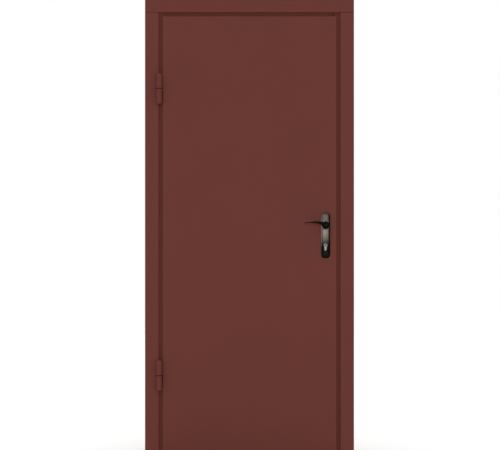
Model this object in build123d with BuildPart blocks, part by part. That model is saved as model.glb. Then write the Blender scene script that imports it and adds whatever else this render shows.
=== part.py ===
from build123d import *
import os

# A single-leaf steel entrance door in its bent-sheet frame, hung on two barrel hinges, with a lever set.
# Millimetres. +X to the lock side, +Y into the building, +Z up. The origin is at the middle of the doorway,
# at floor level, in the plane of the wall's outer face, on the underside of the threshold's front lip.

# Frame and casing
overall_width = 960
overall_height = 2100
casing_width = 63
casing_depth = 18
casing_sheet = 1.5
casing_bend = 2
slot_width = 17
slot_depth = 14
jamb_flange = 48
jamb_depth = 84
jamb_lip = 12
jamb_sheet = 2
jamb_bend = 3
anchor_hole_radius = 6
anchor_y = 62
anchor_pair_spacing = 500
anchor_foot = 300
anchor_head = 250

# Leaf
leaf_lap = 18
leaf_floor_gap = 25
leaf_thickness = 60
leaf_fold = 8
leaf_bend = 2.5
front_sheet = 1.5
inner_sheet = 1.2
body_clearance = 11

# Seal on the frame, under the leaf's lap
seal_width = 9
seal_inset = 10.5
seal_clearance = 1

# Barrel hinges
hinge_length = 140
hinge_radius = 14
hinge_axis_inset = 65
hinge_axis_proud = 15
hinge_top_inset = 333
hinge_bottom_inset = 345
hinge_cap_fillet = 4
pin_radius = 7
pin_reach = 46
pin_end_gap = 2
bearing_radius = 9.5
bearing_gap = 4
bearing_clearance = 0.2
running_clearance = 0.05
weld_tab = 6

# Lever set and lock
backset = 51
lever_height = 1060
lock_centres = 92
plate_width = 43
plate_end = 60
plate_thickness = 8
plate_edge = 3
plate_corner = 18
bevel_width = 8
panel_rise = 1.2
panel_inset = 1.5
panel_round = 0.8
boss_radius = 14
boss_height = 2
spigot_radius = 10
neck_radius = 11.5
neck_length = 26
head_radius = 16.5
head_reach = 41
dome_reach = 54
lever_reach = 100
lever_gap = 0.5
spindle_side = 8
spindle_socket = 22
cylinder_radius = 8.5
cylinder_height = 33
cylinder_tail = 10
cylinder_proud = 2
cylinder_clearance = 0.25
plug_radius = 6.5
plug_depth = 12
plug_recess = 0.6
keyway_width = 2.4
keyway_height = 8.5
keyway_depth = 9
case_depth = 40
case_thickness = 16
case_above = 44
case_below = 10
faceplate_width = 24
faceplate_height = 240
faceplate_thickness = 2.5
bolt_radius = 6
bolt_spacing = 24
bolt_seat = 10
latch_width = 12
latch_height = 22
latch_bevel = 9
latch_flat = 2
strike_clearance = 2
follower_clearance = 1

# Places that follow from the sizes above
half_width = overall_width / 2
casing_inner_x = half_width - casing_width
leaf_half = casing_inner_x - slot_width
reveal_x = leaf_half - leaf_lap
jamb_outer_x = reveal_x + jamb_flange
body_half = reveal_x - body_clearance

face_y = -casing_depth
step_y = face_y + slot_depth
jamb_back_y = step_y + jamb_depth
fold_y = face_y + leaf_fold
skin_back_y = face_y + front_sheet
leaf_back_y = face_y + leaf_thickness
leaf_mid_y = face_y + leaf_thickness / 2

casing_joint_z = overall_height - casing_width
leaf_top_z = casing_joint_z - slot_width
reveal_top_z = leaf_top_z - leaf_lap
jamb_top_z = reveal_top_z + jamb_flange
threshold_top_z = leaf_floor_gap + leaf_lap
body_top_z = reveal_top_z - body_clearance
body_bottom_z = threshold_top_z + body_clearance

hinge_x = -half_width + hinge_axis_inset
hinge_y = face_y - hinge_axis_proud
hinge_upper_z = leaf_top_z - hinge_top_inset
hinge_lower_z = leaf_floor_gap + hinge_bottom_inset
anchor_lower_z = anchor_foot + anchor_pair_spacing / 2
anchor_upper_z = jamb_top_z - anchor_head - anchor_pair_spacing / 2
lever_x = leaf_half - backset
cylinder_z = lever_height - lock_centres
case_top_z = lever_height + case_above
case_height = case_above + lock_centres + bolt_spacing + bolt_radius + case_below

os.makedirs("parts", exist_ok=True)


def write(piece, node):
    """Label a finished piece and write it to its own file."""
    piece.part.label = node
    export_step(piece.part, f"parts/{node}.step")


def folded_strip(points, sheet, bend):
    """Fill the open sketch with a strip of sheet, bent round a line of points along its middle."""
    with BuildLine() as middle:
        FilletPolyline(*points, radius=bend)
    trace(middle.line, line_width=sheet)


def channel_points(outer, inner, front, back):
    """Middle line of a lipped channel whose web is at inner and whose open side is at outer."""
    half = jamb_sheet / 2
    turn = 1 if inner > outer else -1
    lip = outer + turn * half
    web = inner - turn * half
    return [
        (lip, front + jamb_lip),
        (lip, front + half),
        (web, front + half),
        (web, back - half),
        (lip, back - half),
        (lip, back - jamb_lip),
    ]


def profile_cylinder(clearance=0):
    """Draw the keyhole-shaped section of the lock cylinder: a round body over a narrow tail."""
    round_radius = cylinder_radius + clearance
    tail_drop = cylinder_height - cylinder_radius - cylinder_tail / 2
    with Locations((lever_x, cylinder_z)):
        Circle(round_radius)
    with Locations((lever_x, cylinder_z - tail_drop / 2)):
        Rectangle(cylinder_tail + 2 * clearance, tail_drop)
    with Locations((lever_x, cylinder_z - tail_drop)):
        Circle(cylinder_tail / 2 + clearance)


# Jambs: lipped channels, open to the wall, with anchor holes through the web
for side, node in ((-1, "hinge_jamb"), (1, "lock_jamb")):
    with BuildPart() as jamb:
        with BuildSketch(Plane.XY):
            folded_strip(
                channel_points(side * jamb_outer_x, side * reveal_x, step_y, jamb_back_y),
                jamb_sheet,
                jamb_bend,
            )
        extrude(amount=jamb_top_z)
        with BuildSketch(Plane.YZ.offset(side * (reveal_x + jamb_sheet / 2))):
            for pair_z in (anchor_lower_z, anchor_upper_z):
                with Locations((anchor_y, pair_z)):
                    with GridLocations(0, anchor_pair_spacing, 1, 2):
                        Circle(anchor_hole_radius)
        extrude(amount=jamb_sheet, both=True, mode=Mode.SUBTRACT)
        if side > 0:
            with BuildSketch(Plane.YZ.offset(reveal_x + jamb_sheet / 2)):
                with Locations((leaf_mid_y, lever_height)):
                    Rectangle(latch_width + 2 * strike_clearance, latch_height + 2 * strike_clearance)
                with Locations((leaf_mid_y, cylinder_z)):
                    SlotOverall(
                        2 * (bolt_spacing + bolt_radius + strike_clearance),
                        2 * (bolt_radius + strike_clearance),
                        rotation=90,
                    )
            extrude(amount=jamb_sheet, both=True, mode=Mode.SUBTRACT)
    write(jamb, node)

# Head and threshold: the same channel laid across, between the jambs
for outer_z, inner_z, node in (
    (jamb_top_z, reveal_top_z, "head_jamb"),
    (0, threshold_top_z, "threshold"),
):
    with BuildPart() as rail:
        with BuildSketch(Plane(origin=(-reveal_x, 0, 0), x_dir=(0, 0, 1), z_dir=(-1, 0, 0))):
            folded_strip(
                channel_points(outer_z, inner_z, step_y, jamb_back_y), jamb_sheet, jamb_bend
            )
        extrude(amount=-2 * reveal_x)
    write(rail, node)

# Side casings: a face strip with a lip back to the wall and a wall down into the slot
for side, node in ((-1, "hinge_side_casing"), (1, "lock_side_casing")):
    half_sheet = casing_sheet / 2
    lip_x = side * (half_width - half_sheet)
    wall_x = side * (casing_inner_x + half_sheet)
    with BuildPart() as casing:
        with BuildSketch(Plane.XY):
            folded_strip(
                [
                    (lip_x, 0),
                    (lip_x, face_y + half_sheet),
                    (wall_x, face_y + half_sheet),
                    (wall_x, step_y),
                ],
                casing_sheet,
                casing_bend,
            )
        extrude(amount=casing_joint_z)
    write(casing, node)

# Head casing: a shallow tray across the whole width, closed at both ends, that the side casings butt under
with BuildPart() as head_casing:
    with BuildSketch(Plane.XZ):
        with Locations((0, casing_joint_z)):
            Rectangle(overall_width, casing_width, align=(Align.CENTER, Align.MIN))
    extrude(amount=casing_depth)
    fillet(head_casing.faces().sort_by(Axis.Y)[0].edges(), casing_bend + casing_sheet / 2)
    offset(amount=-casing_sheet, openings=head_casing.faces().sort_by(Axis.Y)[-1])
    with BuildSketch(Plane.XZ):
        with Locations((0, casing_joint_z)):
            Rectangle(overall_width, casing_sheet, align=(Align.CENTER, Align.MIN))
    extrude(amount=-step_y, mode=Mode.SUBTRACT)
write(head_casing, "head_casing")


# Seals: a D-shaped rubber strip on the frame's step, under the leaf's lap
def seal_section():
    """Draw the seal's section with its flat base on the step and its crown towards the leaf."""
    height = step_y - skin_back_y - seal_clearance
    crown = seal_width / 2
    with BuildLine() as outline:
        Polyline((-crown, -(height - crown)), (-crown, 0), (crown, 0), (crown, -(height - crown)))
        ThreePointArc((crown, -(height - crown)), (0, -height), (-crown, -(height - crown)))
    make_face(outline.edges())


for side, node in ((-1, "hinge_side_seal"), (1, "lock_side_seal")):
    foot = (side * (leaf_half - seal_inset), step_y, leaf_floor_gap + seal_inset - seal_width / 2)
    with BuildPart() as seal:
        with BuildSketch(Plane(origin=foot)):
            seal_section()
        extrude(amount=leaf_top_z - leaf_floor_gap - 2 * seal_inset + seal_width)
    write(seal, node)

seal_span = 2 * (leaf_half - seal_inset) - seal_width
for seal_z, node in (
    (leaf_top_z - seal_inset, "head_seal"),
    (leaf_floor_gap + seal_inset, "threshold_seal"),
):
    with BuildPart() as seal:
        end = (-seal_span / 2, step_y, seal_z)
        with BuildSketch(Plane(origin=end, x_dir=(0, 0, -1), z_dir=(1, 0, 0))):
            seal_section()
        extrude(amount=seal_span)
    write(seal, node)

# Barrel hinges: a frame half with a fixed pin below, a thrust ring, and a leaf half that turns above it
half_length = (hinge_length - bearing_gap) / 2
for joint_z, place in ((hinge_upper_z, "upper"), (hinge_lower_z, "lower")):
    axis_point = (hinge_x, hinge_y)
    lower_end = joint_z - hinge_length / 2
    ring_z = joint_z - bearing_gap / 2
    leaf_half_z = joint_z + bearing_gap / 2
    with BuildPart() as frame_barrel:
        with BuildSketch(Plane.XY.offset(lower_end)):
            with Locations(axis_point):
                Circle(hinge_radius)
        extrude(amount=half_length)
        fillet(frame_barrel.edges().sort_by(Axis.Z)[0], hinge_cap_fillet)
        with BuildSketch(Plane.XY.offset(lower_end + hinge_cap_fillet)):
            with Locations((-casing_inner_x, hinge_y)):
                Rectangle(weld_tab, step_y - hinge_y, align=(Align.MIN, Align.MIN))
        extrude(amount=half_length - 2 * hinge_cap_fillet)
        with BuildSketch(Plane.XY.offset(ring_z)):
            with Locations(axis_point):
                Circle(pin_radius)
        extrude(amount=-pin_reach, mode=Mode.SUBTRACT)
    write(frame_barrel, f"{place}_hinge_frame_barrel")

    with BuildPart() as pin:
        with BuildSketch(Plane.XY.offset(ring_z - pin_reach)):
            with Locations(axis_point):
                Circle(pin_radius)
        extrude(amount=2 * pin_reach + bearing_gap)
        chamfer(pin.edges().sort_by(Axis.Z)[-1], pin_end_gap)
    write(pin, f"{place}_hinge_pin")

    with BuildPart() as ring:
        with BuildSketch(Plane.XY.offset(ring_z)):
            with Locations(axis_point):
                Circle(bearing_radius)
                Circle(pin_radius, mode=Mode.SUBTRACT)
        extrude(amount=bearing_gap - bearing_clearance)
    write(ring, f"{place}_hinge_thrust_ring")

    with BuildPart() as leaf_barrel:
        with BuildSketch(Plane.XY.offset(leaf_half_z)):
            with Locations(axis_point):
                Circle(hinge_radius)
        extrude(amount=half_length)
        fillet(leaf_barrel.edges().sort_by(Axis.Z)[-1], hinge_cap_fillet)
        with BuildSketch(Plane.XY.offset(leaf_half_z + hinge_cap_fillet)):
            with Locations((-leaf_half, hinge_y)):
                Rectangle(weld_tab, fold_y - hinge_y, align=(Align.MAX, Align.MIN))
        extrude(amount=half_length - 2 * hinge_cap_fillet)
        with BuildSketch(Plane.XY.offset(leaf_half_z)):
            with Locations(axis_point):
                Circle(pin_radius + running_clearance)
        extrude(amount=pin_reach + pin_end_gap, mode=Mode.SUBTRACT)
    write(leaf_barrel, f"{place}_hinge_leaf_barrel")

# Leaf front skin: one sheet with its four edges folded back, cut for the spindle and the lock cylinder
with BuildPart() as front_skin:
    with BuildSketch(Plane.XZ.offset(-fold_y)):
        with Locations((0, leaf_floor_gap)):
            Rectangle(2 * leaf_half, leaf_top_z - leaf_floor_gap, align=(Align.CENTER, Align.MIN))
    extrude(amount=leaf_fold)
    fillet(front_skin.faces().sort_by(Axis.Y)[0].edges(), leaf_bend)
    offset(amount=-front_sheet, openings=front_skin.faces().sort_by(Axis.Y)[-1])
    with BuildSketch(Plane.XZ.offset(-skin_back_y)):
        with Locations((lever_x, lever_height)):
            Circle(spigot_radius + follower_clearance)
        profile_cylinder(cylinder_clearance)
    extrude(amount=front_sheet, mode=Mode.SUBTRACT)
write(front_skin, "leaf_front_skin")

# Leaf inner tray: the back sheet and the four sides of the leaf's body, open towards the front skin
with BuildPart() as inner_tray:
    with BuildSketch(Plane.XZ.offset(-leaf_back_y)):
        with Locations((0, body_bottom_z)):
            Rectangle(2 * body_half, body_top_z - body_bottom_z, align=(Align.CENTER, Align.MIN))
    extrude(amount=leaf_back_y - skin_back_y)
    fillet(inner_tray.faces().sort_by(Axis.Y)[-1].edges(), leaf_bend)
    offset(amount=-inner_sheet, openings=inner_tray.faces().sort_by(Axis.Y)[0])
    with BuildSketch(Plane.XZ.offset(-leaf_back_y)):
        with Locations((lever_x, lever_height)):
            Circle(spigot_radius + follower_clearance)
        profile_cylinder(cylinder_clearance)
    extrude(amount=inner_sheet, mode=Mode.SUBTRACT)
    with BuildSketch(Plane.YZ.offset(body_half)):
        with Locations((leaf_mid_y, case_top_z)):
            Rectangle(case_thickness, case_height, align=(Align.CENTER, Align.MAX))
    extrude(amount=-inner_sheet, mode=Mode.SUBTRACT)
write(inner_tray, "leaf_inner_tray")

# Mortise lock: its case behind the faceplate, with the bolts drawn back flush with the faceplate.
# The latch's nose is bevelled on the side that meets the jamb when the door closes.
bolt_places = [(leaf_mid_y, cylinder_z + step * bolt_spacing) for step in (-1, 0, 1)]
with BuildPart() as lock_case:
    with BuildSketch(Plane.YZ.offset(body_half)):
        with Locations((leaf_mid_y, case_top_z)):
            Rectangle(case_thickness, case_height, align=(Align.CENTER, Align.MAX))
    extrude(amount=-case_depth)
    with BuildSketch(Plane.YZ.offset(body_half)):
        with Locations((leaf_mid_y, lever_height)):
            Rectangle(latch_width, latch_height)
        with Locations(*bolt_places):
            Circle(bolt_radius)
    extrude(amount=-bolt_seat, mode=Mode.SUBTRACT)
    with BuildSketch(Plane.XZ.offset(-leaf_mid_y)):
        with Locations((lever_x, lever_height)):
            Circle(spindle_side * 2**0.5 / 2 + follower_clearance)
        profile_cylinder()
    extrude(amount=case_thickness, both=True, mode=Mode.SUBTRACT)
write(lock_case, "lock_case")

with BuildPart() as faceplate:
    with BuildSketch(Plane.YZ.offset(body_half)):
        with Locations((leaf_mid_y, case_top_z - case_height / 2)):
            SlotOverall(faceplate_height, faceplate_width, rotation=90)
        with Locations((leaf_mid_y, lever_height)):
            Rectangle(latch_width, latch_height, mode=Mode.SUBTRACT)
        with Locations(*bolt_places):
            Circle(bolt_radius, mode=Mode.SUBTRACT)
    extrude(amount=faceplate_thickness)
write(faceplate, "lock_faceplate")

with BuildPart() as latch:
    with BuildSketch(Plane.YZ.offset(body_half - bolt_seat)):
        with Locations((leaf_mid_y, lever_height)):
            Rectangle(latch_width, latch_height)
    extrude(amount=bolt_seat + faceplate_thickness)
    nose = latch.faces().sort_by(Axis.X)[-1]
    closing_edge = nose.edges().sort_by(Axis.Y)[-1]
    chamfer(closing_edge, length=latch_width - latch_flat, length2=latch_bevel, reference=nose)
write(latch, "latch_bolt")

with BuildPart() as dead_bolts:
    with BuildSketch(Plane.YZ.offset(body_half - bolt_seat)):
        with Locations(*bolt_places):
            Circle(bolt_radius)
    extrude(amount=bolt_seat + faceplate_thickness)
write(dead_bolts, "dead_bolts")

# Lock cylinder: one keyhole-section bar through the leaf, with a round key plug in each end
cylinder_front_y = face_y - plate_thickness - cylinder_proud
cylinder_back_y = leaf_back_y + plate_thickness + cylinder_proud
with BuildPart() as cylinder:
    with BuildSketch(Plane.XZ.offset(-cylinder_back_y)):
        profile_cylinder()
    extrude(amount=cylinder_back_y - cylinder_front_y)
    for end_y, inward in ((cylinder_front_y, -1), (cylinder_back_y, 1)):
        with BuildSketch(Plane.XZ.offset(-end_y)):
            with Locations((lever_x, cylinder_z)):
                Circle(plug_radius)
        extrude(amount=inward * plug_depth, mode=Mode.SUBTRACT)
write(cylinder, "lock_cylinder")

for end_y, inward, node in (
    (cylinder_front_y, -1, "outer_key_plug"),
    (cylinder_back_y, 1, "inner_key_plug"),
):
    with BuildPart() as plug:
        with BuildSketch(Plane.XZ.offset(-end_y + inward * plug_recess)):
            with Locations((lever_x, cylinder_z)):
                Circle(plug_radius)
        extrude(amount=inward * (plug_depth - plug_recess))
        with BuildSketch(Plane.XZ.offset(-end_y + inward * plug_recess)):
            with Locations((lever_x, cylinder_z)):
                Rectangle(keyway_width, keyway_height)
        extrude(amount=inward * keyway_depth, mode=Mode.SUBTRACT)
    write(plug, node)

# Backplates: a rounded plate whose rim slopes up to a long raised panel, with a boss round the lever
# and a cut for the cylinder
plate_height = 2 * plate_end + lock_centres
bevel_depth = plate_thickness - plate_edge - panel_rise
panel_border = bevel_width + panel_inset
for base_y, outward, node in (
    (face_y, 1, "outer_backplate"),
    (leaf_back_y, -1, "inner_backplate"),
):
    with BuildPart() as plate:
        with BuildSketch(Plane.XZ.offset(-base_y)):
            with Locations((lever_x, lever_height + plate_end)):
                RectangleRounded(
                    plate_width, plate_height, plate_corner, align=(Align.CENTER, Align.MAX)
                )
        extrude(amount=outward * (plate_edge + bevel_depth))
        front = plate.faces().sort_by(Axis.Y)[0 if outward > 0 else -1]
        chamfer(front.edges(), length=bevel_width, length2=bevel_depth, reference=front)
        with BuildSketch(Plane.XZ.offset(-base_y)):
            with Locations((lever_x, lever_height + plate_end - panel_border)):
                RectangleRounded(
                    plate_width - 2 * panel_border,
                    plate_height - 2 * panel_border,
                    plate_corner - panel_border,
                    align=(Align.CENTER, Align.MAX),
                )
        extrude(amount=outward * plate_thickness)
        panel = plate.faces().sort_by(Axis.Y)[0 if outward > 0 else -1]
        fillet(panel.edges(), panel_round)
        with BuildSketch(Plane.XZ.offset(-base_y)):
            with Locations((lever_x, lever_height)):
                Circle(boss_radius)
        extrude(amount=outward * (plate_thickness + boss_height))
        with BuildSketch(Plane.XZ.offset(-base_y)):
            with Locations((lever_x, lever_height)):
                Circle(spigot_radius)
            profile_cylinder(cylinder_clearance)
        extrude(amount=outward * (plate_thickness + boss_height), mode=Mode.SUBTRACT)
    write(plate, node)

# Levers: a turned neck and head with a horn-shaped grip that rises, thins and runs away from the lock edge
grip_sections = (
    # share of the reach, rise of the middle, distance from the leaf, half height, half depth
    (0.04, 3.0, 43.0, 12.0, 10.5),
    (0.20, 8.0, 45.0, 8.0, 9.5),
    (0.40, 12.2, 47.0, 5.4, 8.2),
    (0.62, 13.4, 48.0, 3.8, 7.0),
    (0.84, 12.4, 47.0, 2.9, 5.8),
    (0.97, 11.0, 45.4, 2.0, 4.2),
    (1.00, 10.7, 45.0, 0.9, 2.0),
)
for base_y, outward, node in ((face_y, -1, "outer_lever"), (leaf_back_y, 1, "inner_lever")):
    neck_start = plate_thickness + boss_height + lever_gap
    turned_radius = spigot_radius - running_clearance
    spindle_axis = Axis((lever_x, base_y, lever_height), (0, 1, 0))
    with BuildPart() as lever:
        with BuildSketch(Plane(origin=(lever_x, base_y, lever_height))):
            with BuildLine():
                Polyline(
                    (0, 0),
                    (turned_radius, 0),
                    (turned_radius, outward * neck_start),
                    (neck_radius, outward * neck_start),
                    (neck_radius, outward * neck_length),
                )
                Spline(
                    (neck_radius, outward * neck_length),
                    (head_radius, outward * head_reach),
                    tangents=((0, outward), (0, outward)),
                )
                Spline(
                    (head_radius, outward * head_reach),
                    (0, outward * dome_reach),
                    tangents=((0, outward), (-1, 0)),
                )
                Line((0, outward * dome_reach), (0, 0))
            make_face()
        revolve(axis=spindle_axis)
        for share, rise, stand_off, half_height, half_depth in grip_sections:
            middle = (
                lever_x - share * lever_reach,
                base_y + outward * stand_off,
                lever_height + rise,
            )
            with BuildSketch(Plane(origin=middle, x_dir=(0, 1, 0), z_dir=(-1, 0, 0))):
                Ellipse(half_depth, half_height)
        loft()
        with BuildSketch(Plane.XZ.offset(-base_y)):
            with Locations((lever_x, lever_height)):
                Rectangle(spindle_side, spindle_side)
        extrude(amount=-outward * spindle_socket, mode=Mode.SUBTRACT)
    write(lever, node)

# Square spindle through the lock, seated in both levers
with BuildPart() as spindle:
    with BuildSketch(Plane.XZ.offset(-leaf_back_y - spindle_socket)):
        with Locations((lever_x, lever_height)):
            Rectangle(spindle_side, spindle_side)
    extrude(amount=leaf_thickness + 2 * spindle_socket)
write(spindle, "lever_spindle")
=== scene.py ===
import math
from functools import partial

import bmesh
import bpy
from mathutils import Matrix, Vector


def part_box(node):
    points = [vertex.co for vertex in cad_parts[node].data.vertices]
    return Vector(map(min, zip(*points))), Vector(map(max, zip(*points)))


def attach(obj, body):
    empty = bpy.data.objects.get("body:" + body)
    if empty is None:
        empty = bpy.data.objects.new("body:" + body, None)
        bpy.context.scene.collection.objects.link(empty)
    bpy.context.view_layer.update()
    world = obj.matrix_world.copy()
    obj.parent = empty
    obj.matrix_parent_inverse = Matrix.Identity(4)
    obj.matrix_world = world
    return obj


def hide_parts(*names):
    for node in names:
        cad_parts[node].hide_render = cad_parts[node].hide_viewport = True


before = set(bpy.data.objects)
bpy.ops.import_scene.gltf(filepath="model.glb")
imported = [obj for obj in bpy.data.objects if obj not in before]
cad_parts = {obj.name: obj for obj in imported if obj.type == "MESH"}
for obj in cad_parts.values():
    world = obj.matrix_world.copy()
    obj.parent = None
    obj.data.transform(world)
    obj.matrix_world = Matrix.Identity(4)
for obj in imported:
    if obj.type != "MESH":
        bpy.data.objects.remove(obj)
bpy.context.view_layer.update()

bl_info = {
    "name": "Steel Entrance Door",
    "version": (1, 0, 0),
    "blender": (4, 5, 0),
    "location": "View3D > Sidebar > Door",
    "description": "Dresses a steel entrance door: powder coat, weld beads, lever set, lock and stage",
    "category": "Object",
}

MM = 0.001
ORIGIN = Vector((0, 0, 0))
UP = Vector((0, 0, 1))
# From the door towards the middle of the front light
LIGHT_HEADING = Vector((0.05, -0.95, 0.15)).normalized()
# Width of a full-frame camera's sensor, in millimetres
SENSOR_WIDTH = 36
# The door's two sides, each with the way along Y that leads out of it
SIDES = (("outer", -1), ("inner", 1))
# Materials that are already made, by maker and plate
KEPT = {}

PAINTED_FRAME = (
    "hinge_jamb", "lock_jamb", "head_jamb", "threshold",
    "hinge_side_casing", "lock_side_casing", "head_casing",
    "upper_hinge_frame_barrel", "lower_hinge_frame_barrel",
)
PAINTED_LEAF = (
    "leaf_front_skin", "leaf_inner_tray", "upper_hinge_leaf_barrel", "lower_hinge_leaf_barrel",
)
SEALS = ("hinge_side_seal", "lock_side_seal", "head_seal", "threshold_seal")
HINGE_STEEL = (
    "upper_hinge_pin", "lower_hinge_pin", "upper_hinge_thrust_ring", "lower_hinge_thrust_ring",
)


def linear(hex_code):
    """Turn an sRGB hex value into linear red, green and blue."""
    channels = [int(hex_code[i:i + 2], 16) / 255 for i in (0, 2, 4)]
    return tuple(c / 12.92 if c <= 0.04045 else ((c + 0.055) / 1.055) ** 2.4 for c in channels)


def middle(node):
    """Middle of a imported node's box."""
    low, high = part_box(node)
    return (low + high) / 2


def colour(label, note, hex_code):
    """A colour that the user may change, with an sRGB hex default."""
    return bpy.props.FloatVectorProperty(
        name=label, description=note, subtype="COLOR", size=3, min=0, max=1, default=linear(hex_code)
    )


def size(label, note, millimetres):
    """A length that the user may change, with its default in millimetres."""
    return bpy.props.FloatProperty(
        name=label, description=note, subtype="DISTANCE", unit="LENGTH", min=0, default=millimetres * MM
    )


def share(label, note, default, top=1.0):
    """A plain factor that the user may change."""
    return bpy.props.FloatProperty(
        name=label, description=note, subtype="FACTOR", min=0, max=top, default=default
    )


class DoorFinish(bpy.types.PropertyGroup):
    """Colours and surface sizes of the door's finishes."""

    coat: colour("Powder coat", "Body colour of the red-brown coat", "5f2e26")
    # Painted shade: a darker, redder coat on the frame's step, in the gap beside the leaf
    step_shade_coat: colour("Thin coat", "Colour of the thinner coat on the frame's step", "5f291f")
    rubber: colour("Rubber", "Colour of the seals", "1c1c1d")
    # Colour of the dark bead that paints the shadow in the casing's joints
    shade_mastic: colour("Mastic", "Colour of the mastic in the casing's joints", "2a1611")
    black_plate: colour("Black nickel", "Colour of the darkened lever set", "0e0e0a")
    # Colour of the painted highlight on the backplates
    painted_highlight_plate: colour("Relieved metal", "Colour where hands have rubbed the plate bright", "857971")
    # Warmer colour of that painted highlight on a backplate's hinge-side rim
    rim_highlight_metal: colour("Rim metal", "Warmer metal worn bare on a plate's hinge-side rim", "856a63")
    nickel: colour("Nickel", "Colour of the cylinder and bolts", "686b67")
    plug: colour("Worn nickel", "Colour of the key plugs, dulled by keys", "5e5c57")
    zinc: colour("Zinc", "Colour of the plated lock steel", "a9abaa")
    # Colour of the dark bead that paints the shade between a hinge's barrels
    grease: colour("Grease", "Colour of the old grease between the hinges' barrels", "210a06")
    # Nearly black partly as painted shade in the gap between a hinge's barrels
    steel: colour("Greased steel", "Colour of the hinge pins and rings under old grease", "241d1a")
    peel: size("Orange peel", "Width of one swell in the powder coat", 2.2)
    bloom: size("Bloom", "Width of a grey cloud on the rubber", 40)
    blotch: size("Blotch", "Width of a faint change of tone in the coat", 320)
    turning: size("Turning mark", "Spacing of the lathe marks on pins and rings", 0.5)
    brushing: size("Brushing", "Width of one brushed streak on nickel and zinc", 0.4)


class DoorFittings(bpy.types.PropertyGroup):
    """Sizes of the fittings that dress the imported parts."""

    weld_radius: size("Weld radius", "Half the width of a weld bead", 2.3)
    weld_offset: size("Weld offset", "Distance of a hinge's weld bead from the hinge's axis", 9)
    weld_margin: size("Weld margin", "Bare length at each end of a hinge's weld bead", 8)
    corner_margin: size("Corner margin", "Bare length at each end of a frame corner's weld bead", 4)
    corner_sink: size("Corner sink", "Depth of a frame corner's bead under the inner face", 0.4)
    weld_pitch: size("Weld pitch", "Spacing of the ripples along a weld bead", 2.4)
    # The bead in the casing's joints is painted shade
    shade_mastic_radius: size("Mastic radius", "Half the width of the bead in the casing's joints", 1.7)
    shade_mastic_margin: size("Mastic margin", "Distance of the mastic's ends from a casing's edges", 2)
    shade_mastic_pitch: size("Mastic pitch", "Spacing of the swells along a bead of mastic", 9)
    # The bead between a hinge's barrels is painted shade
    grease_radius: size("Grease radius", "Half the height of the grease between a hinge's barrels", 1.82)
    grease_pitch: size("Grease pitch", "Spacing of the swells round a ring of grease", 8)
    screw_head: size("Screw head", "Diameter of a countersunk screw's head", 9)
    screw_sink: size("Screw sink", "How far a screw's head sits below the face round it", 0.3)
    screw_inset: size("Screw inset", "Distance of the end screws from a plate's ends", 18)
    fixing_drop: size("Fixing drop", "How far under the key plugs' axis the cylinder's screw is", 12)
    screw_recess: size("Screw recess", "Span of the cross recess in a screw's head", 5)
    plate_corner: size("Plate corner", "Radius of a backplate's corners", 18)
    plate_rim: size("Plate rim", "Width of the sloping rim round a backplate", 8)
    plate_edge: size("Plate edge", "Height of a backplate's upright edge", 3)
    plate_step: size("Plate step", "Width of the ledge round a backplate's raised panel", 1.5)
    panel_rise: size("Panel rise", "Height of a backplate's raised panel", 1.2)
    boss_radius: size("Boss radius", "Radius of the boss round a lever's neck", 14)
    boss_rise: size("Boss rise", "Height of that boss over a backplate's panel", 2)
    spigot_hole: size("Spigot hole", "Radius of a backplate's hole for the lever's spigot", 10.2)
    slot_clearance: size("Slot clearance", "Gap between the lock cylinder and a backplate's slot", 0.4)
    lever_neck: size("Lever neck", "Radius of a lever's neck", 11.5)
    neck_reach: size("Neck reach", "How far out a lever's head begins to swell", 26.5)
    head_reach: size("Head reach", "How far out a lever's head is fullest", 43)
    dome_reach: size("Dome reach", "How far out the dome of a lever's head ends", 54)
    lever_head: size("Lever head", "Radius of a lever's turned head at its fullest", 18)
    tip_length: size("Tip length", "Length of a lever's grip that is drawn out thinner", 55)
    tip_thinning: share("Tip thinning", "Share of its height that a lever's tip loses", 0.4)
    tip_droop: size("Tip droop", "How far a lever's tip bends down", 1.5)
    grub_reach: size("Grub reach", "How far out the grub screw stands", 18)
    grub_screw: size("Grub screw", "Diameter of the grub screw under a lever's neck", 5)
    lever_grain: size("Lever grain", "Cell of the remesh that blends head and grip into one casting", 0.6)
    edge_break: size("Edge break", "Width of the broken edge on lock parts", 0.35)
    cylinder_tail: size("Cylinder tail", "Width of the lock cylinder's narrow tail", 10)
    keyway_width: size("Keyway width", "Width of the keyway in a key plug", 2.6)
    keyway_height: size("Keyway height", "Height of the keyway in a key plug", 8.6)


class DoorStage(bpy.types.PropertyGroup):
    """Camera, light and floor."""

    picture_width: size("Picture width", "What the picture's width spans at the door's face", 2296.5)
    aim_right: size("Aim right", "How far right of the doorway's middle the camera aims", 2.3)
    aim_height: size("Aim height", "Height that the camera aims at", 1060.7)
    lens: bpy.props.FloatProperty(
        name="Lens", description="Focal length, in millimetres", unit="CAMERA", default=200, min=20
    )
    floor: colour("Floor", "Colour of the studio floor", "fdfdfc")
    floor_mottle: size("Floor mottle", "Width of a faint change of tone on the floor", 1000 / 3)
    floor_reach: size("Floor reach", "Half the width of the studio floor", 14000)
    front_light: share("Front light", "Extra brightness of the studio in front of the door", 8.1, 30)
    front_focus: share("Front focus", "How closely the front light gathers round its middle", 60, 200)
    left_light: share("Left light", "Brightness of the studio to the left", 0.4, 4)
    right_light: share("Right light", "Brightness of the studio to the right", 0.34, 4)
    back_light: share("Back light", "Extra brightness of the studio behind the door", 0.6, 4)
    top_light: share("Top light", "Extra brightness from above", 0.9, 4)


# Node helpers


def fill_inputs(node, inputs):
    """Fill a node's inputs by name or number: with a value, an output, or a node's first live output."""
    for socket, value in inputs.items():
        if isinstance(value, bpy.types.Node):
            value = next(output for output in value.outputs if output.enabled)
        if isinstance(value, bpy.types.NodeSocket):
            node.id_data.links.new(value, node.inputs[socket])
        else:
            node.inputs[socket].default_value = value


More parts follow.
